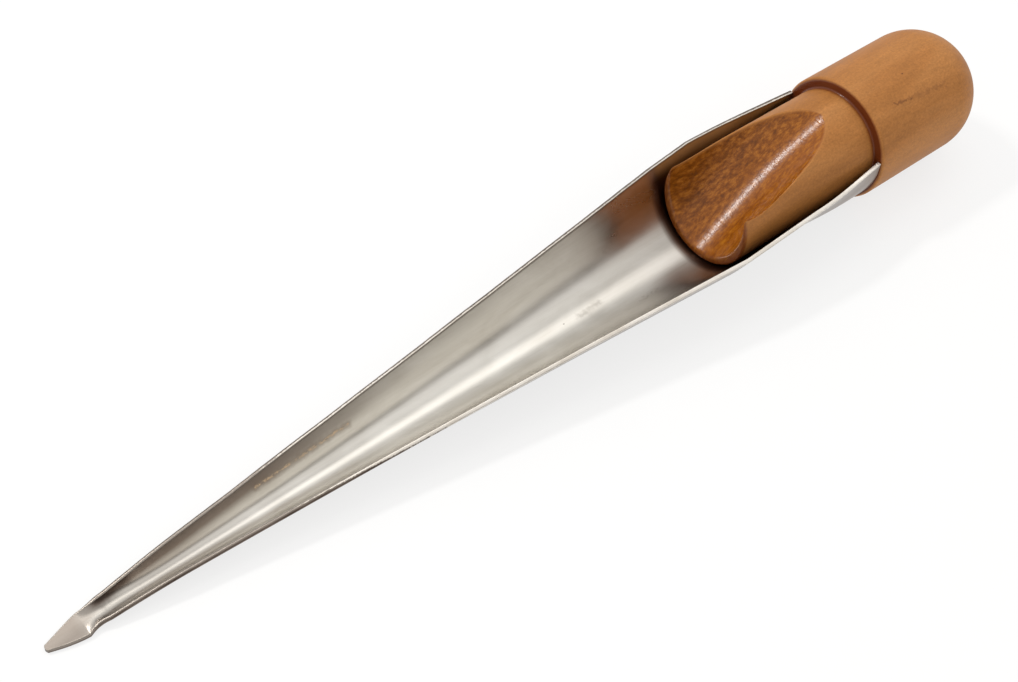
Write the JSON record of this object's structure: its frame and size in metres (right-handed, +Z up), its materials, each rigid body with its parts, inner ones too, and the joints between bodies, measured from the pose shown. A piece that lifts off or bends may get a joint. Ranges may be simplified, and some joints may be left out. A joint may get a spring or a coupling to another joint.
{
  "type": "marlinspike",
  "caption": "Hollow marlinspike for splicing rope: a half-round tapering steel trough with a flattened tip, wrapped around the scooped tenon of a turned wooden handle.",
  "frame": {"origin": "on the bench, under the middle of the tool's length and width, as the tool lies with its trough open upwards on its knob and its tip", "axes": "+X along the tool towards the handle's knob, +Y across it, +Z up, out of the open trough"},
  "size_m": [0.2556, 0.0342, 0.031],
  "materials": {
    "lacquered_wood": "satin lacquer over turned light brown wood, redder and glossier in the scoop and at the shoulder",
    "stainless_blade": "satin stainless sheet, fine lengthwise streaks, filed pale rims",
    "pin_steel": "plain stainless pin heads, lightly polished"
  },
  "bodies": {
    "root": {"handle": "lacquered_wood", "blade": "stainless_blade", "blade_pin_1": "pin_steel", "blade_pin_2": "pin_steel"}
  },
  "joints": []
}
